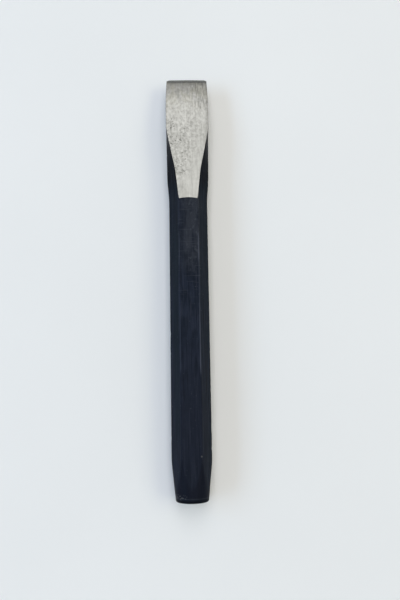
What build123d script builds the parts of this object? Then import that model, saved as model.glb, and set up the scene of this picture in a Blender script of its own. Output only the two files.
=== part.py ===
from build123d import *
import os
from math import atan, cos, pi, radians, sin, tan

# Cold chisel: one hexagonal tool-steel forging, and the coat of black lacquer on its unground surfaces.
# The chisel lies on one flat of its shank. +Y points to the cutting edge, +X across the blade, +Z up.
# The origin is on the resting surface, under the middle of the length.
# A station is a distance back from the cutting edge along the tool's axis. All lengths are in mm.

# Whole tool
LENGTH = 203.0
ACROSS_FLATS = 16.0  # of the hexagonal shank, over the lacquer
LACQUER = 0.1  # thickness of the coat
CORNER_EASE = 0.25  # flat that each rounded corner takes from either side

# Forged blade: half widths of the steel at the height of its axis
EDGE_HALF_WIDTH = 9.75  # at the cutting edge
BULGE_HALF_WIDTH = 10.4  # where the blade is widest
BULGE_STATION = 17.0
SHOULDER_HALF_WIDTH = 9.95  # where the spread blade starts to neck down to the bar
SHOULDER_STATION = 51.0
NECK_STATION = 65.0  # the bar is a plain regular hexagon from here to the head
SQUARE_STATION = 27.0  # the blade's narrow sides are upright from here to the cutting edge
FLANK_STATION = 53.0  # the flanks have come round to the hexagon's slope here
FLANK_LEAN = 0.09  # part by which they slope more than that halfway along the neck
LEAN_START = 40.0  # where that extra slope begins; it ends at the neck station
SIDE_CROWN = 0.02  # least slope of the narrow sides, which bulge a little at mid height
BLADE_SECTIONS = 17

# Ground faces and cutting bevels
GRIND_STATION = 64.2  # where the ground faces run out on the shank's flats
BEVEL_HALF_THICKNESS = 1.5  # of the blade, where the ground faces meet the bevels
BEVEL_ANGLE = 65.0  # included angle of the cutting edge, degrees
EDGE_LAND = 0.1  # half thickness of the cutting edge itself
WHEEL_WIDTH = 40.0  # of the blocks that stand for the grinding wheels
WHEEL_LENGTH = 160.0

# Struck head
TAPER_LENGTH = 17.8  # of the cone that is turned on the bar's end
TAPER_ANGLE = 5.9  # between cone and axis, degrees
CROWN_RISE = 0.75  # of the domed striking face
HEAD_CORNER = 1.0  # radius between the cone and the striking face

AXIS_HEIGHT = ACROSS_FLATS / 2
STEEL_HALF_FLATS = AXIS_HEIGHT - LACQUER
HEX_SLOPE = tan(radians(30))
STEEL_HALF_CORNERS = STEEL_HALF_FLATS / cos(radians(30))
TIP_Y = LENGTH / 2
HEAD_Y = -LENGTH / 2


def part_way(value, start, end):
    """How far value has come from start to end, from 0 to 1."""
    return min(max((value - start) / (end - start), 0.0), 1.0)


def smooth_step(value, start, end):
    """0 before start and 1 after end, with a gentle rise between them."""
    return (1 - cos(pi * part_way(value, start, end))) / 2


def half_width(station):
    """Half width of the forging at the height of its axis."""
    spread = EDGE_HALF_WIDTH + (BULGE_HALF_WIDTH - EDGE_HALF_WIDTH) * sin(
        pi / 2 * part_way(station, 0, BULGE_STATION)
    )
    taper = (BULGE_HALF_WIDTH - SHOULDER_HALF_WIDTH) * part_way(station, BULGE_STATION, SHOULDER_STATION)
    blade = spread - taper
    return blade + (STEEL_HALF_CORNERS - blade) * smooth_step(station, SHOULDER_STATION, NECK_STATION)


def flank_slope(station):
    """Sideways run of a flank for each mm of height."""
    slope = HEX_SLOPE * sin(pi / 2 * part_way(station, SQUARE_STATION, FLANK_STATION))
    lean = FLANK_LEAN * sin(pi * part_way(station, LEAN_START, NECK_STATION)) ** 2
    return max(slope * (1 + lean), SIDE_CROWN)


def section(station, skin):
    """The six-sided section of bar or blade, grown by skin, standing across the axis."""
    slope = flank_slope(station)
    half_height = STEEL_HALF_FLATS + skin
    waist = half_width(station) + skin / cos(atan(slope))
    shoulder = waist - slope * half_height
    outline = Polygon(
        (waist, 0),
        (shoulder, half_height),
        (-shoulder, half_height),
        (-waist, 0),
        (-shoulder, -half_height),
        (shoulder, -half_height),
        align=None,
    )
    waist_corners = outline.vertices().filter_by_position(Axis.Y, -1, 1)
    outline = fillet(waist_corners, CORNER_EASE / slope + skin)
    flat_corners = outline.vertices().filter_by(lambda corner: abs(corner.Y) > half_height / 2)
    flat_turn = radians(90) - atan(slope)
    outline = fillet(flat_corners, CORNER_EASE / tan(flat_turn / 2) + skin)
    across = Plane(origin=(0, TIP_Y - station, AXIS_HEIGHT), x_dir=(1, 0, 0), z_dir=(0, -1, 0))
    return across * outline


def blade_stock(skin):
    """The spread end of the forging, before grinding, from the neck to the cutting edge."""
    step = NECK_STATION / BLADE_SECTIONS
    return loft([section(step * count, skin) for count in range(BLADE_SECTIONS + 1)])


def bar_stock(skin):
    """The plain hexagonal bar, from the neck past the head's end."""
    return extrude(section(NECK_STATION, skin), LENGTH - NECK_STATION + skin)


def head_form(skin):
    """The cone and domed striking face that the head is turned to, wide open towards the blade."""
    flare = tan(radians(TAPER_ANGLE))
    end_radius = STEEL_HALF_CORNERS - TAPER_LENGTH * flare + skin
    crown_radius = (end_radius**2 + CROWN_RISE**2) / (2 * CROWN_RISE)
    open_radius = end_radius + LENGTH * flare
    profile = make_face(
        [
            RadiusArc((0, 0), (end_radius, CROWN_RISE), -crown_radius),
            Polyline((end_radius, CROWN_RISE), (open_radius, LENGTH + CROWN_RISE), (0, LENGTH + CROWN_RISE), (0, 0)),
        ]
    )
    rim = profile.vertices().filter_by_position(Axis.Y, CROWN_RISE / 2, CROWN_RISE * 2)
    profile = fillet(rim, HEAD_CORNER + skin)
    head_end = Pos(0, HEAD_Y + LACQUER - skin, AXIS_HEIGHT)
    return revolve(head_end * profile, Axis((0, 0, AXIS_HEIGHT), (0, 1, 0)))


def forging(skin):
    """The unground chisel, grown by skin."""
    return (blade_stock(skin) + bar_stock(skin)) & head_form(skin)


def wheel(station, half_thickness, slope_angle):
    """A block on the plane that a face of the blade is ground to, and its mirror image below the axis."""
    normal = (0, sin(radians(slope_angle)), cos(radians(slope_angle)))
    face = Plane(origin=(0, TIP_Y - station, AXIS_HEIGHT + half_thickness), x_dir=(1, 0, 0), z_dir=normal)
    upper = face * Box(WHEEL_WIDTH, WHEEL_LENGTH, WHEEL_WIDTH, align=(Align.CENTER, Align.CENTER, Align.MIN))
    lower = mirror(upper, about=Plane.XY.offset(AXIS_HEIGHT))
    return [upper, lower]


def ground(shape):
    """The shape after its broad faces and its cutting bevels are ground."""
    bevel_length = (BEVEL_HALF_THICKNESS - EDGE_LAND) / tan(radians(BEVEL_ANGLE / 2))
    face_rise = (AXIS_HEIGHT - BEVEL_HALF_THICKNESS) / (GRIND_STATION - bevel_length)
    face_wheels = wheel(GRIND_STATION, AXIS_HEIGHT, atan(face_rise) * 180 / pi)
    bevel_wheels = wheel(0, EDGE_LAND, BEVEL_ANGLE / 2)
    for block in face_wheels + bevel_wheels:
        shape = shape - block
    return shape


steel = ground(forging(0))
coat = ground(forging(LACQUER)) - forging(0)

os.makedirs("parts", exist_ok=True)
for name, shape in {"steel_forging": steel, "black_lacquer": coat}.items():
    export_step(shape, f"parts/{name}.step")
    print(name, len(shape.solids()), "solid,", round(shape.volume, 1), "mm3,", shape.bounding_box())
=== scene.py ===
"""Looks of the cold chisel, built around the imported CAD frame.

A station is a distance in mm back from the cutting edge, along the tool's axis, as in the CAD source.
Rings of points are worked out in mm from the tool's axis, and become metres when a mesh is written.
"""
import math

import bpy
import numpy as np
from mathutils import Euler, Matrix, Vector, noise


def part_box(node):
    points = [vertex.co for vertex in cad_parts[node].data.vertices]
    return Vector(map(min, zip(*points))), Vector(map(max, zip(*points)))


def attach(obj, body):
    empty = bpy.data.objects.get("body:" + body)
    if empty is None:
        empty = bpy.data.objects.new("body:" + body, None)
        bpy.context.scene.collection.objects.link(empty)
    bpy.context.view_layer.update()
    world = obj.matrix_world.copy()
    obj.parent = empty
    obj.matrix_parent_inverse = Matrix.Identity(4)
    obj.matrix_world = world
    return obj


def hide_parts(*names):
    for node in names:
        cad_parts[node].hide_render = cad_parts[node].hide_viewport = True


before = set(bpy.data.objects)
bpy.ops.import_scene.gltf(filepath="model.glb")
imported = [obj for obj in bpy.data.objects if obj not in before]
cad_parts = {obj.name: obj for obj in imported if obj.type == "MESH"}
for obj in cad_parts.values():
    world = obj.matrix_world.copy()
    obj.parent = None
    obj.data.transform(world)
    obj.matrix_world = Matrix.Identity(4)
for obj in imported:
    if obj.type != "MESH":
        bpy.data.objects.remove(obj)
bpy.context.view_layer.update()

MM = 0.001

# Sizes read from the frame, in mm
coat_low, coat_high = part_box("black_lacquer")
steel_low, steel_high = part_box("steel_forging")
TIP_Y = coat_high.y / MM
LENGTH = (coat_high.y - coat_low.y) / MM
AXIS_HEIGHT = (coat_low.z + coat_high.z) / 2 / MM
FILM = (steel_low.z - coat_low.z) / MM
HALF_FLATS = AXIS_HEIGHT - FILM
HALF_CORNERS = HALF_FLATS / math.cos(math.radians(30))
BULGE_HALF_WIDTH = steel_high.x / MM

# Shape of the forging, in mm and degrees, as the CAD source has it
EDGE_HALF_WIDTH = 9.75
BULGE_STATION = 17.0
SHOULDER_HALF_WIDTH = 9.95
SHOULDER_STATION = 51.0
NECK_STATION = 65.0
SQUARE_STATION = 27.0
FLANK_STATION = 53.0
FLANK_LEAN = 0.09
LEAN_START = 40.0
SIDE_CROWN = 0.02
CORNER_EASE = 0.25
GRIND_STATION = 64.2
BEVEL_HALF_THICKNESS = 1.5
BEVEL_HALF_ANGLE = 32.5
EDGE_LAND = 0.1
TAPER_LENGTH = 17.8
TAPER_ANGLE = 5.9
CROWN_RISE = 0.75
HEAD_CORNER = 1.0

BEVEL_LENGTH = (BEVEL_HALF_THICKNESS - EDGE_LAND) / math.tan(math.radians(BEVEL_HALF_ANGLE))
FACE_RISE = (AXIS_HEIGHT - BEVEL_HALF_THICKNESS) / (GRIND_STATION - BEVEL_LENGTH)
FLARE = math.tan(math.radians(TAPER_ANGLE))
HEX_SLOPE = math.tan(math.radians(30))

# Finer shape that only the finished surface has, in mm
COAT_START = 63.9  # the lacquer's feathered edge on the shank's flats
BORDER_ARCH = 0.5  # how far that edge curves back at the corners
ARCH_REACH = 5.0  # how far along the tool the curve is felt
WAVE_DEPTH = 0.04  # of the forging's slow unevenness
WAVE_LENGTH = 9.0
RIPPLE_LENGTH = 3.1  # of the finer waves on it
GROUND_WAVE = 0.25  # part of the unevenness that grinding leaves on the broad faces
EDGE_CROWN = 0.12  # how far the cutting edge falls back towards its ends
EDGE_ROUNDING = (0.35, 0.7)  # depth and width of the worn corners of the cutting edge
EDGE_NICKS = 0.10  # depth of the small nicks along it
EDGE_WEAR_REACH = 1.6  # how far behind the edge all of that wear fades out
CREASE_BLEND = 0.12  # rounding between the cone and the hexagon's flats
CORNER_MARK_REACH = 0.45  # how far from a corner its painted highlight and wear reach
COAT_BACK = 0.02  # gap between the steel and the coat's inner side
COAT_TIP = 0.3  # station where the coat begins on the blade's narrow sides
CORNER_GONE = 0.3  # depth of turning that takes a corner's painted highlight and wear away
FULLY_TURNED = 0.16  # depth of turning at which the cone has replaced the hexagon
SHARP_ANGLE = 28.0  # in degrees, between faces that meet in a visible edge
DINGS = 26
DING_SEED = 11
DING_DEPTH = (0.05, 0.16)
DING_RADIUS = (0.5, 1.3)
CHIP_STATION = 182.4  # the largest chip, on the right upper corner where the cone begins
CHIP_DEPTH = 0.18
CHIP_RADIUS = 0.4
DEEP_PITS = ((-6.8, 25.0), (-7.5, 22.4), (-3.4, 34.0))  # (across, station) of the darkest pits
DEEP_PIT_RADIUS = 0.3
TIP_SHADE_REACH = 12.0  # how far the painted shade on the ground faces reaches behind the bevels
TURNING_PITCH = 0.22  # of the rings on the striking face
TONE_LIMIT = 0.3  # swing of the steel's tone that reaches its dullest and brightest

# Stretches of the tool that look different, as first and last station in mm
PALE_STRETCH = (13, 21)
CUTTING_STRETCH = (0, 30)
PITTED_STRETCH = (24, 50)
SHEEN_STRETCH = (64, 92)
SCRATCHED_STRETCH = (66, 108)
CORNER_HIGHLIGHT_STRETCH = (84, 142)
STREAKED_STRETCH = (84, 168)
RIM_CHIP_STRETCH = (LENGTH - 4.2, LENGTH - 2.2)
RIM_HIGHLIGHT_STRETCH = (LENGTH - 2.7, LENGTH - 2.5)
RIM_SHADE_STRETCH = (LENGTH - 1.7, LENGTH - 0.9)

# Heights off the axis, in mm, above which all is flat and below which all is facet
FLAT_LEVEL = 7.6
FACET_LEVEL = 6.9

# Distances between rings of points, in mm
BLADE_PITCH = 0.5
BORDER_PITCH = 0.3
SHANK_PITCH = 0.8
CONE_PITCH = 0.4

# Colours of the ground steel, as red, green and blue parts of the light
DULL_STEEL = (0.295, 0.295, 0.277)
BRIGHT_STEEL = (0.455, 0.455, 0.438)
STAINED_STEEL = (0.36, 0.35, 0.27)
STREAKED_STEEL = (0.15, 0.15, 0.14)
# painted shade on the bevels and the ground faces behind them
SHADED_TIP_STEEL = (0.07, 0.07, 0.065)
PITTED_STEEL = (0.13, 0.125, 0.105)

# Colours of the lacquer
DARK_PATCH = (0.0066, 0.0107, 0.0198)
LIGHT_PATCH = (0.0144, 0.0195, 0.0342)
TOWARDS_HEAD = (0.0108, 0.0140, 0.0245)
DARK_RUN = (0.0050, 0.0075, 0.0140)
LIGHT_RUN = (0.0260, 0.0300, 0.0460)
BY_BLADE = (0.0035, 0.0055, 0.0075)
# painted shade of the sloping facets, and of the blade's flanks below
SHADED_FACET = (0.0012, 0.0055, 0.0135)
SHADED_BLADE_FLANK = (0.0004, 0.0010, 0.0040)
DARK_FACET_RUN = (0.0010, 0.0030, 0.0070)
LIGHT_FACET_RUN = (0.0200, 0.0280, 0.0430)
LEFT_FACET_STREAK = (0.0020, 0.0095, 0.0160)
# painted sheen on the top flat behind the blade, over hazy lacquer
SHEEN_AND_HAZE = (0.0300, 0.0340, 0.0440)
RUBBED = (0.042, 0.047, 0.060)
# painted highlight of the corners, with rubbed wear
HIGHLIT_CORNER = (0.062, 0.072, 0.100)
SPECK = (0.05, 0.055, 0.065)
TURNED = (0.0075, 0.0090, 0.0160)
FACE_RING = (0.0280, 0.0320, 0.0430)
FACE_SCUFF = (0.0420, 0.0460, 0.0560)
# painted highlight and painted shade along the head's rim
RIM_HIGHLIGHT = (0.030, 0.034, 0.044)
RIM_SHADE = (0.003, 0.004, 0.006)
BARE_CHIP = (0.20, 0.20, 0.20)

# Colours of the sheet
SHEET_DARK = (0.832, 0.843, 0.868)
SHEET_LIGHT = (0.872, 0.883, 0.908)

# Points round one quarter of a section, as parts of the way from its waist to its flat's edge
QUARTER = np.concatenate([[0, 0.015, 0.03], np.linspace(0.08, 0.9, 11), [0.94, 0.955, 0.97, 0.985, 1]])
FLAT_SPANS = 18
FLAT_CORNER = len(QUARTER) - 1


def part_way(value, start, end):
    """How far value has come from start to end, from 0 to 1."""
    return min(max((value - start) / (end - start), 0.0), 1.0)


def half_width(station):
    """Half width of the steel at the height of the axis."""
    spread = EDGE_HALF_WIDTH + (BULGE_HALF_WIDTH - EDGE_HALF_WIDTH) * math.sin(
        math.pi / 2 * part_way(station, 0, BULGE_STATION)
    )
    taper = part_way(station, BULGE_STATION, SHOULDER_STATION)
    blade = spread - (BULGE_HALF_WIDTH - SHOULDER_HALF_WIDTH) * taper
    necked = (1 - math.cos(math.pi * part_way(station, SHOULDER_STATION, NECK_STATION))) / 2
    return blade + (HALF_CORNERS - blade) * necked


def flank_slope(station):
    """Sideways run of a flank for each mm of height."""
    turn = part_way(station, SQUARE_STATION, FLANK_STATION)
    lean = FLANK_LEAN * math.sin(math.pi * part_way(station, LEAN_START, NECK_STATION)) ** 2
    return max(HEX_SLOPE * math.sin(math.pi / 2 * turn) * (1 + lean), SIDE_CROWN)


def ground_height(station):
    """Height above the axis that the blade's broad faces and bevels are ground to."""
    bevel = EDGE_LAND + station * math.tan(math.radians(BEVEL_HALF_ANGLE))
    face = BEVEL_HALF_THICKNESS + FACE_RISE * (station - BEVEL_LENGTH)
    return min(bevel, face)


def quarter(station, skin):
    """Points from the section's waist up its flank, and round the corner to the edge of the flat."""
    slope = flank_slope(station)
    lean = math.atan(slope)
    half_flats = HALF_FLATS + skin
    waist = half_width(station) + skin / math.cos(lean)
    waist_radius = CORNER_EASE / slope + skin
    turn = math.pi / 2 - lean
    corner_radius = CORNER_EASE / math.tan(turn / 2) + skin
    corner_x = waist - slope * half_flats - corner_radius * math.tan(turn / 2)
    low = np.linspace(0, lean, 7)
    high = np.linspace(lean, math.pi / 2, 13)
    waist_x = waist - waist_radius / math.cos(lean)
    corner_z = half_flats - corner_radius
    x = np.concatenate([waist_x + waist_radius * np.cos(low), corner_x + corner_radius * np.cos(high)])
    z = np.concatenate([waist_radius * np.sin(low), corner_z + corner_radius * np.sin(high)])
    run = np.concatenate([[0], np.cumsum(np.hypot(np.diff(x), np.diff(z)))])
    end = np.interp(min(ground_height(station), half_flats), z, run)
    return np.interp(QUARTER * end, run, x), np.interp(QUARTER * end, run, z)


def ring(station, skin):
    """Points (x, height above the axis) all round a section, starting at the right-hand waist."""
    x, z = quarter(station, skin)
    flat_x = np.linspace(x[-1], -x[-1], FLAT_SPANS + 1)[1:-1]
    flat_z = np.full(FLAT_SPANS - 1, z[-1])
    upper_x = np.concatenate([x, flat_x, -x[::-1]])
    upper_z = np.concatenate([z, flat_z, z[::-1]])
    return np.concatenate([upper_x, upper_x[-2:0:-1]]), np.concatenate([upper_z, -upper_z[-2:0:-1]])


def head_profile(skin):
    """(distance from the head's end, radius) from the cone round the corner to the middle of the dome."""
    end_radius = HALF_CORNERS - TAPER_LENGTH * FLARE + skin
    dome_radius = (end_radius**2 + CROWN_RISE**2) / (2 * CROWN_RISE)
    fillet = HEAD_CORNER + skin
    # The rounding's centre is fillet inside both the cone and the dome
    cone_lean = math.radians(TAPER_ANGLE)
    reach = dome_radius - fillet
    centre_r = end_radius
    for _ in range(20):
        centre_d = dome_radius - math.sqrt(reach**2 - centre_r**2)
        centre_r = end_radius + (centre_d - CROWN_RISE) * FLARE - fillet / math.cos(cone_lean)
    dome_lean = math.asin(centre_r / reach)
    corner = np.linspace(cone_lean, math.pi / 2 - dome_lean, 9) * -1
    corner_d = centre_d + fillet * np.sin(corner)
    corner_r = centre_r + fillet * np.cos(corner)
    dome = np.linspace(dome_lean, 0, 13)[1:-1]
    dome_d = dome_radius - dome_radius * np.cos(dome)
    dome_r = dome_radius * np.sin(dome)
    return np.concatenate([corner_d, dome_d]), np.concatenate([corner_r, dome_r])


def soft_limit(radius, limit):
    """The smaller of radius and limit, with the crease between them rounded off."""
    gap = np.clip((radius - limit) / CREASE_BLEND, -30, 30)
    return radius - CREASE_BLEND * np.log1p(np.exp(gap))


def stations():
    """Where the rings stand: close together on the blade and on the head's cone, wider along the shank."""
    bevel = np.linspace(0, BEVEL_LENGTH, 7)
    blade = np.arange(BEVEL_LENGTH + 0.12, COAT_START, BLADE_PITCH)
    neck = np.arange(COAT_START, NECK_STATION + 2, BORDER_PITCH)
    shank = np.arange(neck[-1] + SHANK_PITCH, LENGTH - TAPER_LENGTH - 1, SHANK_PITCH)
    cone = np.arange(shank[-1] + CONE_PITCH, LENGTH - HEAD_CORNER - CONE_PITCH, CONE_PITCH)
    return np.concatenate([bevel, blade, neck, shank, cone])


def corner_point(station, corner, side, level):
    """The coat's point on a waist or flat corner of a section, which side and level choose by sign."""
    x, z = ring(station, FILM)
    limit = HALF_CORNERS + FILM - max(0.0, station - LENGTH + TAPER_LENGTH) * FLARE
    scale = min(1.0, limit / math.hypot(x[corner], z[corner]))
    return np.array([side * x[corner] * scale, TIP_Y - station, level * z[corner] * scale])


def dents():
    """Knocks on the corners of the shank, the blade's sides and the head: (centre, depth, radius) in mm."""
    rng = np.random.default_rng(DING_SEED)
    knocks = [(corner_point(CHIP_STATION, FLAT_CORNER, 1, 1), CHIP_DEPTH, CHIP_RADIUS)]
    for _ in range(DINGS):
        station = rng.uniform(6, LENGTH - 3)
        corner = rng.choice([0, FLAT_CORNER])
        side, level = rng.choice([-1, 1], 2)
        centre = corner_point(station, corner, side, level)
        knocks.append((centre, rng.uniform(*DING_DEPTH), rng.uniform(*DING_RADIUS)))
    return knocks


def unevenness(points, knocks):
    """How far the forging's surface falls inside its nominal shape, in mm."""
    wave = np.array([noise.noise(Vector(point) / WAVE_LENGTH) for point in points])
    ripple = np.array([noise.noise(Vector(point) / RIPPLE_LENGTH) for point in points])
    depth = WAVE_DEPTH * np.clip(0.5 + 0.5 * (wave + 0.5 * ripple), 0, 1)
    for centre, deep, radius in knocks:
        gap = np.linalg.norm(points - centre, axis=1)
        depth += deep * np.exp(-((gap / radius) ** 2))
    return depth


def skin_points(skin):
    """Rows of points over the whole forging grown by skin, their marks, and the rows' stations.

    The marks are numbers from 0 to 1 for each point: corner, how near it is to a rounded corner, and turned,
    how far the head's cone and dome have replaced the hexagon there.
    """
    rows, corners, turned, row_stations = [], [], [], []
    head_end = LENGTH - FILM + skin
    profile_d, profile_r = head_profile(skin)
    end_radius = HALF_CORNERS - TAPER_LENGTH * FLARE + skin
    for station in stations():
        x, z = ring(station, skin)
        radius = np.hypot(x, z)
        limit = end_radius + (head_end - station - CROWN_RISE) * FLARE
        limited = soft_limit(radius, limit)
        scale = limited / radius
        outward = np.clip(np.abs(x) / (HALF_CORNERS / 2), 0, 1)
        near_flats = np.clip(np.abs(z) / 3 - 1.6, 0, 1)  # from 4.8 to 7.8 mm off the axis
        arch = BORDER_ARCH * outward**2 * near_flats
        slid = station + arch * math.exp(-(((station - GRIND_STATION) / ARCH_REACH) ** 2))
        rows.append(np.stack([x * scale, TIP_Y - slid, z * scale], axis=1))
        corners.append(corner_nearness(station) * np.clip(1 - (radius - limited) / CORNER_GONE, 0, 1))
        turned.append(np.clip((radius - limited) / FULLY_TURNED, 0, 1))
        row_stations.append(station)
    around = rows[-1] / np.hypot(rows[-1][:, 0], rows[-1][:, 2])[:, None]
    for distance, radius in zip(profile_d, profile_r):
        row = around * radius
        row[:, 1] = TIP_Y - head_end + distance
        rows.append(row)
        corners.append(np.zeros(len(row)))
        turned.append(np.ones(len(row)))
        row_stations.append(head_end - distance)
    points = np.concatenate(rows + [np.array([[0, TIP_Y - head_end, 0]])])
    marks = {"corner": np.concatenate(corners + [[0]]), "turned": np.concatenate(turned + [[1]])}
    return points, marks, np.array(row_stations)


def corner_nearness(station):
    """1 on the rounded corners of a ring's section, falling to 0 within about a millimetre."""
    x, z = quarter(station, FILM)
    run = np.concatenate([[0], np.cumsum(np.hypot(np.diff(x), np.diff(z)))])
    waist = flank_slope(station) / HEX_SLOPE * np.exp(-((run / CORNER_MARK_REACH) ** 2))
    upper = np.exp(-(((run[-1] - CORNER_EASE - run) / CORNER_MARK_REACH) ** 2))
    side = np.maximum(waist, upper)
    flat_x = np.linspace(x[-1], -x[-1], FLAT_SPANS + 1)[1:-1]
    flat = np.exp(-(((x[-1] + CORNER_EASE - np.abs(flat_x)) / CORNER_MARK_REACH) ** 2))
    half = np.concatenate([side, flat, side[::-1]])
    return np.concatenate([half, half[-2:0:-1]])


def tube_faces(row_stations, count, covered):
    """Quads between rings where covered(station, on_flat) says so, and the fan that closes the domed end."""
    quarter_spans = len(QUARTER) - 1
    faces = []
    for row, station in enumerate(row_stations[:-1]):
        for i in range(count):
            mirrored = min(i, count - 1 - i)
            on_flat = quarter_spans <= mirrored < quarter_spans + FLAT_SPANS
            if covered(station, on_flat):
                here, there = row * count, (row + 1) * count
                following = (i + 1) % count
                faces.append((here + i, here + following, there + following, there + i))
    last, middle = (len(row_stations) - 1) * count, len(row_stations) * count
    faces += [(last + i, last + (i + 1) % count, middle) for i in range(count)]
    return faces


def edge_cap(count):
    """Faces that close the first ring, which is the land of the cutting edge."""
    half = count // 2
    inner = [(i + 1, i, count - i, count - i - 1) for i in range(1, half - 1)]
    return [(1, 0, count - 1), *inner, (half, half - 1, half + 1)]


def shell_faces(faces, offset):
    """The faces, the same faces turned inside out on the points offset further on, and the rim between."""
    directed = {(f[i], f[(i + 1) % len(f)]) for f in faces for i in range(len(f))}
    rim = [(b, a, a + offset, b + offset) for a, b in sorted(directed) if (b, a) not in directed]
    inside = [tuple(v + offset for v in reversed(f)) for f in faces]
    return faces + inside + rim


def write_mesh(name, points, faces, marks):
    """A mesh object in metres, with only the points that its faces use, and their marks as attributes."""
    used = sorted({v for f in faces for v in f})
    place = {v: i for i, v in enumerate(used)}
    metres = (points[used] + [0, 0, AXIS_HEIGHT]) * MM
    mesh = bpy.data.meshes.new(name)
    mesh.from_pydata(metres.tolist(), [], [[place[v] for v in f] for f in faces])
    for mark, values in marks.items():
        mesh.attributes.new(mark, "FLOAT", "POINT").data.foreach_set("value", values[used])
    mesh.shade_smooth()
    mesh.set_sharp_from_angle(angle=math.radians(SHARP_ANGLE))
    piece = bpy.data.objects.new(name, mesh)
    bpy.context.scene.collection.objects.link(piece)
    return piece


def inward(points, depth):
    """The points moved towards the tool's axis by depth."""
    radius = np.maximum(np.hypot(points[:, 0], points[:, 2]), 0.01)
    scale = 1 - np.minimum(depth / radius, 0.5)
    return points * np.stack([scale, np.ones(len(points)), scale], axis=1)


def steel_body(knocks):
    """The whole forging, bare: broad faces ground flat, bevels, cutting edge with a few small nicks."""
    points, marks, row_stations = skin_points(0)
    count = (len(points) - 1) // len(row_stations)
    depth = unevenness(points, knocks)
    station = TIP_Y - points[:, 1]
    ground = (station < COAT_START) & (np.abs(points[:, 2]) > 0.9 * np.vectorize(ground_height)(station))
    points = inward(points, np.where(ground, GROUND_WAVE * depth, depth))
    points[:, 1] -= edge_wear(points[:, 0], station)
    faces = tube_faces(row_stations, count, lambda station, on_flat: True) + edge_cap(count)
    return write_mesh("chisel_steel", points, faces, marks)


def edge_wear(x, station):
    """How far the cutting edge is set back by its rounded ends and small nicks, fading behind the edge."""
    crown = EDGE_CROWN * (x / EDGE_HALF_WIDTH) ** 2
    end_depth, end_width = EDGE_ROUNDING
    ends = end_depth * np.clip((np.abs(x) - EDGE_HALF_WIDTH + end_width) / end_width, 0, 1) ** 2
    coarse = np.array([noise.noise(Vector((place * 1.3, 4.2, 0))) for place in x])
    small = np.array([noise.noise(Vector((place * 4.1, 0, 2))) for place in x])
    nicks = EDGE_NICKS * np.clip(coarse + 0.6 * small, 0, 1)
    return (crown + ends + nicks) * np.clip(1 - station / EDGE_WEAR_REACH, 0, 1)


def lacquer_coat(knocks):
    """The coat as a thin closed shell over everything that was not ground."""
    outer, marks, row_stations = skin_points(FILM)
    inner, _, _ = skin_points(COAT_BACK)
    count = (len(outer) - 1) // len(row_stations)
    depth = unevenness(outer, knocks)
    faces = tube_faces(
        row_stations,
        count,
        lambda station, on_flat: station > (COAT_START - 0.05 if on_flat else COAT_TIP),
    )
    points = np.concatenate([inward(outer, depth), inward(inner, depth)])
    both_sides = {mark: np.tile(values, 2) for mark, values in marks.items()}
    return write_mesh("chisel_lacquer", points, shell_faces(faces, len(outer)), both_sides)


CHIP = corner_point(CHIP_STATION, FLAT_CORNER, 1, 1)
knocks = dents()
steel = steel_body(knocks)
lacquer = lacquer_coat(knocks)
for piece, node, finish in (
    (steel, "steel_forging", "ground_steel"),
    (lacquer, "black_lacquer", "black_lacquer"),
):
    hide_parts(node)
    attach(piece, "root")


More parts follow.
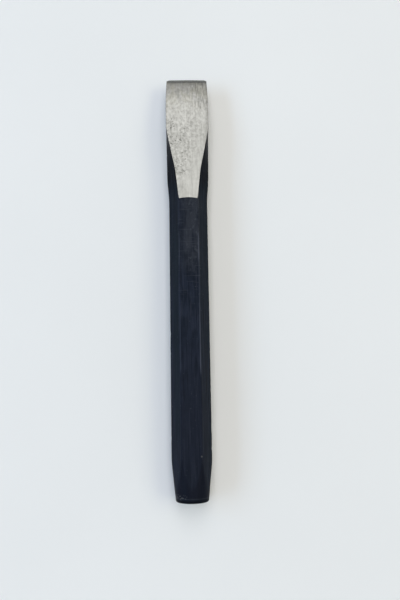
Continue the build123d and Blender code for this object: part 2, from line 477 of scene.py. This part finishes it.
class Shading:
    """One material's node tree, with its coordinates in mm from the row frame's origin."""

    def __init__(self, name):
        self.material = bpy.data.materials.new(name)
        self.material.use_nodes = True
        self.tree = self.material.node_tree
        self.surface = self.tree.nodes["Principled BSDF"]
        place = self.node("ShaderNodeTexCoord").outputs["Object"]
        self.place = self.vector("MULTIPLY", place, (1 / MM,) * 3)
        x, y, z = self.node("ShaderNodeSeparateXYZ", Vector=self.place).outputs
        self.x, self.z = x, z
        self.station = self.math("SUBTRACT", TIP_Y, y)

    def node(self, kind, settings=(), **inputs):
        """A new node with its settings made and its named inputs set or linked."""
        made = self.tree.nodes.new(kind)
        for name, value in dict(settings).items():
            setattr(made, name, value)
        for name, value in inputs.items():
            self.give(made.inputs[name.replace("_", " ")], value)
        return made

    def give(self, socket, value):
        """Sets the socket, or links it where value is another node's output."""
        if isinstance(value, bpy.types.NodeSocket):
            self.tree.links.new(value, socket)
        else:
            socket.default_value = value

    def vector(self, operation, first, second):
        made = self.node("ShaderNodeVectorMath", {"operation": operation})
        self.give(made.inputs[0], first)
        self.give(made.inputs[1], second)
        return made.outputs[0]

    def math(self, operation, *values):
        made = self.node("ShaderNodeMath", {"operation": operation})
        for socket, value in zip(made.inputs, values):
            self.give(socket, value)
        return made.outputs[0]

    def chain(self, operation, values):
        """The values joined one after another by a Math node's operation."""
        joined = values[0]
        for value in values[1:]:
            joined = self.math(operation, joined, value)
        return joined

    def total(self, *values):
        return self.chain("ADD", values)

    def product(self, *values):
        return self.chain("MULTIPLY", values)

    def most(self, *values):
        return self.chain("MAXIMUM", values)

    def swing(self, value, amount):
        """A value from 0 to 1 as a swing to either side of 0, amount from end to end."""
        return self.product(self.math("SUBTRACT", value, 0.5), amount)

    def noise(self, size, detail=2.0, seed=0.0):
        """Noise from 0 to 1 whose features are size = (x, y, z) mm apart."""
        scaled = self.vector("DIVIDE", self.place, size)
        moved = self.vector("ADD", scaled, (seed, 2.7 * seed, 1.3 * seed))
        return self.node("ShaderNodeTexNoise", Vector=moved, Scale=1.0, Detail=detail).outputs["Fac"]

    def rings(self, spacing, seed):
        """Noise from 0 to 1 in rings round the tool's axis, spacing mm apart."""
        around = self.vector("SUBTRACT", self.place, (0, 0, AXIS_HEIGHT))
        flat = self.vector("MULTIPLY", around, (1 / spacing, 0, 1 / spacing))
        radius = self.node("ShaderNodeVectorMath", {"operation": "LENGTH"}, Vector=flat).outputs["Value"]
        moved = self.math("ADD", radius, seed)
        waves = self.node("ShaderNodeTexNoise", {"noise_dimensions": "1D"}, W=moved, Scale=1.0, Detail=2.0)
        return waves.outputs["Fac"]

    def fade(self, value, start, end, low=0.0, high=1.0):
        """low where value is at start and high where it is at end, smooth between and flat outside."""
        made = self.node("ShaderNodeMapRange", {"interpolation_type": "SMOOTHSTEP"}, Value=value)
        for name, number in (("From Min", start), ("From Max", end), ("To Min", low), ("To Max", high)):
            self.give(made.inputs[name], number)
        return made.outputs["Result"]

    def band(self, value, start, end, soft):
        """1 between start and end, and 0 further than soft outside them."""
        return self.product(self.fade(value, start - soft, start), self.fade(value, end + soft, end))

    def mark(self, name):
        """One of the numbers that the mesh holds for each point."""
        return self.node("ShaderNodeAttribute", {"attribute_name": name}).outputs["Fac"]

    def spot(self, centre, radius):
        """1 within a ragged patch around centre, a place in mm from the tool's axis."""
        gap = self.node("ShaderNodeVectorMath", {"operation": "DISTANCE"})
        self.give(gap.inputs[0], self.place)
        self.give(gap.inputs[1], tuple(centre + [0, 0, AXIS_HEIGHT]))
        ragged = self.total(gap.outputs["Value"], self.product(self.noise((0.4,) * 3), radius))
        return self.fade(ragged, 1.7 * radius, 1.3 * radius)

    def blend(self, factor, first, second):
        """A colour between first and second."""
        made = self.node("ShaderNodeMix", {"data_type": "RGBA"})
        for socket, value in zip((made.inputs[0], made.inputs[6], made.inputs[7]), (factor, first, second)):
            self.give(socket, (*value, 1) if isinstance(value, tuple) else value)
        return made.outputs[2]

    def bump(self, height, depth, onto=None):
        """Relief of height from 0 to 1 and depth in mm."""
        made = self.node("ShaderNodeBump", Height=height, Distance=depth * MM, Strength=1.0)
        if onto is not None:
            self.give(made.inputs["Normal"], onto)
        return made.outputs["Normal"]

    def finish(self, **inputs):
        """The material, once the shader's named inputs are set or linked."""
        for name, value in inputs.items():
            socket = self.surface.inputs[name.replace("_", " ")]
            self.give(socket, (*value, 1) if isinstance(value, tuple) else value)
        return self.material


def steel_tone(s, fine, broad):
    """Where the ground faces are lighter or darker, as a number around 0."""
    mottle = s.noise((1.2, 1.5, 1.2), detail=4, seed=3)
    # The mottling reaches further back at the left than at the right
    worn = s.fade(s.total(s.station, s.product(s.x, 2.2)), 60, 36, 0.3, 1.0)
    return s.total(
        s.swing(mottle, s.product(worn, 0.95)),
        s.product(s.band(s.station, *PALE_STRETCH, 7), 0.07),
        s.swing(broad, 0.45),
        s.swing(fine, s.product(worn, 0.32)),
    )


def steel_stain(s):
    """Patches of brownish stain close to the edge."""
    patches = s.fade(s.noise((3.0, 6.0, 3.0), detail=1, seed=7), 0.45, 0.6)
    return s.product(s.fade(s.station, 22, 4), patches, 0.3)


def steel_streaks(s):
    """Dark sides, lines and blotches near the edge, more of them at the right."""
    right_side = s.fade(s.x, 7.6, 10.0, 0.0, 0.42)
    both_sides = s.fade(s.math("ABSOLUTE", s.x), BULGE_HALF_WIDTH - 0.8, BULGE_HALF_WIDTH, 0.0, 0.3)
    lines = s.fade(s.noise((0.45, 9.0, 0.45), detail=1, seed=6), 0.48, 0.64)
    streaks = s.product(lines, s.fade(s.x, 0.0, 7.0, 0.2, 1.0), s.fade(s.station, 26, 12), 0.8)
    patches = s.fade(s.noise((1.5, 2.2, 1.5), detail=2, seed=8), 0.5, 0.66)
    blotches = s.product(patches, s.fade(s.station, 24, 12), 0.3)
    near_edge = s.band(s.station, *CUTTING_STRETCH, 14)
    return s.product(s.most(right_side, both_sides, streaks, blotches), near_edge)


def painted_tip_shade(s):
    """Painted shade: the faces darker just behind the bevels, and the bevels darker, for their dimmer
    reflection towards the edge; less at the very edge.
    """
    wide = s.fade(s.station, BEVEL_LENGTH + TIP_SHADE_REACH, BEVEL_LENGTH, 0.0, 0.46)
    narrow = s.fade(s.station, BEVEL_LENGTH + 2.0, BEVEL_LENGTH, 0.0, 0.18)
    return s.product(s.total(wide, narrow), s.fade(s.station, 0, BEVEL_LENGTH, 0.78, 1.0))


def steel_pits(s):
    """1 in the pits, which come in patches at the left of the blade, and in a few single ones."""
    cloud = s.noise((5.0, 8.0, 5.0), detail=2, seed=4)
    at_left = s.fade(s.x, 3.0, -3.0, 0.1, 1.0)
    pitted = s.product(s.fade(cloud, 0.36, 0.54), s.band(s.station, *PITTED_STRETCH, 6), at_left)
    pits = s.product(s.fade(s.noise((0.8, 0.7, 0.8), detail=2, seed=5), 0.54, 0.70), pitted)
    for x, station in DEEP_PITS:
        pits = s.most(pits, s.spot(np.array([x, TIP_Y - station, ground_height(station)]), DEEP_PIT_RADIUS))
    return pits


def ground_steel():
    """Belt-ground tool steel: lines along the blade, mottling, pits, and painted shade towards the cutting
    end.
    """
    s = Shading("ground_steel")
    fine = s.noise((0.14, 7.0, 0.14), detail=2, seed=1)
    broad = s.noise((0.8, 40.0, 0.8), detail=2, seed=2)
    tone = steel_tone(s, fine, broad)
    pits = steel_pits(s)
    color = s.blend(s.fade(tone, -TONE_LIMIT, TONE_LIMIT), DULL_STEEL, BRIGHT_STEEL)
    color = s.blend(steel_stain(s), color, STAINED_STEEL)
    color = s.blend(steel_streaks(s), color, STREAKED_STEEL)
    # painted shade on the bevels and the faces behind them
    color = s.blend(painted_tip_shade(s), color, SHADED_TIP_STEEL)
    color = s.blend(s.product(pits, 0.55), color, PITTED_STEEL)
    roughness = s.total(s.fade(tone, -TONE_LIMIT, TONE_LIMIT, 0.46, 0.38), s.product(pits, 0.2))
    relief = s.bump(s.total(fine, broad), 0.012)
    relief = s.bump(s.math("SUBTRACT", 1.0, pits), 0.04, relief)
    return s.finish(Base_Color=color, Metallic=1.0, Roughness=roughness, Normal=relief)


def bar_color(s, patch, runs):
    """Patches and long runs in the coat, with less contrast towards the head and darker by the blade."""
    color = s.blend(s.fade(patch, 0.32, 0.68), DARK_PATCH, LIGHT_PATCH)
    color = s.blend(s.fade(s.station, 110, 170, 0.0, 0.7), color, TOWARDS_HEAD)
    color = s.blend(s.fade(runs, 0.46, 0.3, 0.0, 0.7), color, DARK_RUN)
    light_runs = s.product(s.fade(runs, 0.5, 0.68), s.fade(s.station, 110, 165, 0.6, 0.3))
    color = s.blend(light_runs, color, LIGHT_RUN)
    return s.blend(s.fade(s.station, 68, 58, 0.0, 0.6), color, BY_BLADE)


def facet_color(s, color, facet, runs):
    """The colour given, with painted shade on the sloping facets, most on the blade's flanks, and runs and a
    streak on them.
    """
    # painted shade: the facets darker than the flats, most by the blade
    facet_shade = s.product(facet, s.fade(s.station, 60, 165, 0.85, 0.2))
    color = s.blend(facet_shade, color, SHADED_FACET)
    color = s.blend(s.product(facet, s.fade(s.station, 62, 52), 0.9), color, SHADED_BLADE_FLANK)
    color = s.blend(s.product(facet, s.fade(runs, 0.46, 0.3), 0.6), color, DARK_FACET_RUN)
    color = s.blend(s.product(facet, s.fade(runs, 0.5, 0.66), 0.3), color, LIGHT_FACET_RUN)
    streak = s.product(facet, s.band(s.x, -7.2, -5.3, 0.5), s.band(s.station, *STREAKED_STRETCH, 12), 0.5)
    return s.blend(streak, color, LEFT_FACET_STREAK)


def handled_color(s, color, facet, level, patch):
    """The colour given, with painted sheen over hazy lacquer and rubbed patches behind the blade, cross
    scratches, a painted highlight on the corners, and specks.
    """
    behind_blade = s.product(
        s.band(s.station, *SHEEN_STRETCH, 12),
        s.fade(s.z, AXIS_HEIGHT + 7.0, AXIS_HEIGHT + 7.8),
        s.fade(s.x, -4.0, 0.0, 0.2, 1.0),
    )
    # painted sheen: the top flat behind the blade lighter in patches, more at the right, where the lamps'
    # reflection falls; hazy lacquer as well
    sheen_and_haze = s.product(behind_blade, s.fade(patch, 0.3, 0.6, 0.35, 1.0), 0.75)
    color = s.blend(sheen_and_haze, color, SHEEN_AND_HAZE)
    rubbed = s.product(behind_blade, s.fade(s.noise((1.6, 2.0, 1.6), detail=3, seed=19), 0.54, 0.68), 0.7)
    scratches = s.product(
        s.fade(s.noise((6.0, 0.4, 6.0), detail=1, seed=13), 0.6, 0.72),
        s.band(s.station, *SCRATCHED_STRETCH, 10),
        s.fade(facet, 0, 1, 1.0, 0.3),
        0.5,
    )
    color = s.blend(s.most(rubbed, scratches), color, RUBBED)
    # painted highlight on the shank's corners, most on the upper right one, with rubbed wear
    color = s.blend(corner_highlight_and_wear(s, level), color, HIGHLIT_CORNER)
    specks = s.fade(s.noise((0.5, 0.5, 0.5), detail=0, seed=14), 0.81, 0.84)
    return s.blend(specks, color, SPECK)


def corner_highlight_and_wear(s, level):
    """Painted highlight along the corners of the shank, with rubbed wear there too, the strongest on the
    upper right one.
    """
    return s.product(
        s.fade(s.mark("corner"), 0.55, 0.85),
        s.fade(s.noise((3.0, 24.0, 3.0), detail=2, seed=15), 0.25, 0.5, 0.5, 1.0),
        s.band(s.station, *CORNER_HIGHLIGHT_STRETCH, 7),
        s.fade(s.x, -3.0, 3.0, 0.35, 1.0),
        s.fade(level, 3.0, 6.5, 0.35, 1.0),
        s.most(s.band(s.station, 84, 92, 6), s.fade(s.station, 108, 128, 0.35, 0.9)),
    )


def head_color(s, color, face, rings, patch):
    """The colour given, with the turned cone, the scuffed striking face, and a painted highlight and painted
    shade along the rim.
    """
    color = s.blend(s.product(s.mark("turned"), s.fade(face, 0, 1, 0.75, 0.35)), color, TURNED)
    color = s.blend(s.product(face, s.fade(rings, 0.4, 0.65), 0.45), color, FACE_RING)
    scuffs = s.fade(s.noise((1.7, 1.7, 1.7), detail=4, seed=23), 0.56, 0.7)
    color = s.blend(s.product(face, scuffs, 0.5), color, FACE_SCUFF)
    # painted highlight: a thin light stripe where the rim's rounding begins
    rim_highlight = s.product(s.band(s.station, *RIM_HIGHLIGHT_STRETCH, 0.25), s.fade(patch, 0.3, 0.5, 0.4, 1.0), 0.6)
    color = s.blend(rim_highlight, color, RIM_HIGHLIGHT)
    # painted shade: a dark band further round the rim's rounding
    return s.blend(s.product(s.band(s.station, *RIM_SHADE_STRETCH, 0.5), 0.7), color, RIM_SHADE)


def lacquer_chips(s):
    """Chips along the head's rim, more of them at the left, and the largest chip where the cone begins."""
    left = s.fade(s.x, 0.0, -5.0, 0.0, 0.16)
    rim_chips = s.product(
        s.band(s.station, *RIM_CHIP_STRETCH, 0.6),
        s.fade(s.total(s.noise((0.8, 0.7, 0.8), detail=2, seed=16), left), 0.72, 0.78),
        0.4,
    )
    return s.most(rim_chips, s.product(s.spot(CHIP, CHIP_RADIUS), 0.3))


def black_lacquer():
    """Satin blue-black lacquer: painted sheen over hazy lacquer behind the blade, painted shade on the
    facets, a painted highlight and rubbed wear on the corners, chipped at the head.
    """
    s = Shading("black_lacquer")
    level = s.math("ABSOLUTE", s.math("SUBTRACT", s.z, AXIS_HEIGHT))
    facet = s.fade(level, FLAT_LEVEL, FACET_LEVEL)
    face = s.fade(s.station, LENGTH - 0.8, LENGTH - 0.5)
    rings = s.rings(TURNING_PITCH, seed=22)
    patch = s.noise((2.2, 6.0, 2.2), detail=3, seed=11)
    grain = s.noise((0.35, 0.5, 0.35), detail=2, seed=12)
    runs = s.noise((0.6, 17.0, 0.6), detail=3, seed=18)
    chips = lacquer_chips(s)
    color = bar_color(s, patch, runs)
    color = facet_color(s, color, facet, runs)
    color = handled_color(s, color, facet, level, patch)
    color = head_color(s, color, face, rings, patch)
    color = s.blend(chips, color, BARE_CHIP)
    roughness = s.fade(s.total(s.product(patch, 0.7), s.product(grain, 0.3)), 0.3, 0.7, 0.28, 0.44)
    relief = s.bump(s.noise((1.4, 1.8, 1.4), detail=2, seed=17), 0.02)
    relief = s.bump(grain, 0.006, relief)
    relief = s.bump(s.product(rings, face), 0.02, relief)
    relief = s.bump(s.math("SUBTRACT", 1.0, chips), 0.06, relief)
    return s.finish(
        Base_Color=color, Metallic=chips, Roughness=roughness, Specular_IOR_Level=0.03, Normal=relief
    )


def pale_sheet():
    """The matt pale sheet that the tool lies on."""
    s = Shading("pale_sheet")
    cloud = s.noise((90.0, 90.0, 90.0), detail=3, seed=21)
    color = s.blend(cloud, SHEET_DARK, SHEET_LIGHT)
    return s.finish(Base_Color=color, Roughness=0.95, Specular_IOR_Level=0.1)


steel.data.materials.append(ground_steel())
lacquer.data.materials.append(black_lacquer())


def sheet(radius, sides=96):
    """A round flat floor under the tool, radius in metres."""
    mesh = bpy.data.meshes.new("sheet")
    turns = [2 * math.pi * side / sides for side in range(sides)]
    rim = [(radius * math.cos(turn), radius * math.sin(turn), 0) for turn in turns]
    mesh.from_pydata(rim, [], [tuple(range(sides))])
    floor = bpy.data.objects.new("sheet", mesh)
    bpy.context.scene.collection.objects.link(floor)
    mesh.materials.append(pale_sheet())


def daylight(color, low, high, reach):
    """Light from all round, of strength low at the horizon and below, and high from reach degrees up."""
    world = bpy.data.worlds.new("studio")
    bpy.context.scene.world = world
    world.use_nodes = True
    nodes, links = world.node_tree.nodes, world.node_tree.links
    background = nodes["Background"]
    background.inputs["Color"].default_value = (*color, 1)
    way = nodes.new("ShaderNodeTexCoord").outputs["Generated"]
    height = nodes.new("ShaderNodeSeparateXYZ")
    links.new(way, height.inputs["Vector"])
    level = nodes.new("ShaderNodeMapRange")
    level.interpolation_type = "SMOOTHSTEP"
    level.inputs["From Max"].default_value = math.sin(math.radians(reach))
    level.inputs["To Min"].default_value = low
    level.inputs["To Max"].default_value = high
    links.new(height.outputs["Z"], level.inputs["Value"])
    links.new(level.outputs["Result"], background.inputs["Strength"])


def area_light(name, direction, distance, size, radiance, color):
    """A rectangular soft light, size and distance in metres, that shines at the middle of the tool."""
    light = bpy.data.lights.new(name, "AREA")
    light.shape = "RECTANGLE"
    light.size, light.size_y = size
    light.energy = radiance * math.pi * light.size * light.size_y
    light.color = color
    lamp = bpy.data.objects.new(name, light)
    way = Vector(direction).normalized()
    lamp.location = way * distance
    lamp.rotation_euler = way.to_track_quat("Z", "Y").to_euler()
    bpy.context.scene.collection.objects.link(lamp)


def photo_camera(location, tilt, focal_length):
    """The camera above the tool, a little towards its head, with its tilt in degrees round x, y and z."""
    data = bpy.data.cameras.new("camera")
    data.lens = focal_length
    data.sensor_width = 36
    camera = bpy.data.objects.new("camera", data)
    camera.location = location
    camera.rotation_euler = Euler([math.radians(angle) for angle in tilt])
    bpy.context.scene.collection.objects.link(camera)
    bpy.context.scene.camera = camera


sheet(radius=1.8)
daylight((0.97, 0.985, 1.0), low=0.66, high=0.18, reach=38)
area_light(
    "ceiling_panel",
    direction=(0, 0.27, 1),
    distance=2.75,
    size=(2.0, 4.5),
    radiance=1.84,
    color=(1.0, 0.99, 0.97),
)
area_light(
    "left_window",
    direction=(-1, 0, 0.72),
    distance=2.5,
    size=(2.25, 0.8),
    radiance=3.9,
    color=(0.54, 0.76, 1.0),
)
area_light(
    "right_window",
    direction=(1, 0, 1.07),
    distance=2.5,
    size=(1.75, 0.875),
    radiance=2.75,
    color=(1.0, 0.95, 0.66),
)
photo_camera(location=(-0.00213, -0.05748, 0.28569), tilt=(9.694, -1.279, -0.988), focal_length=36)
bpy.context.scene.view_settings.view_transform = "Standard"
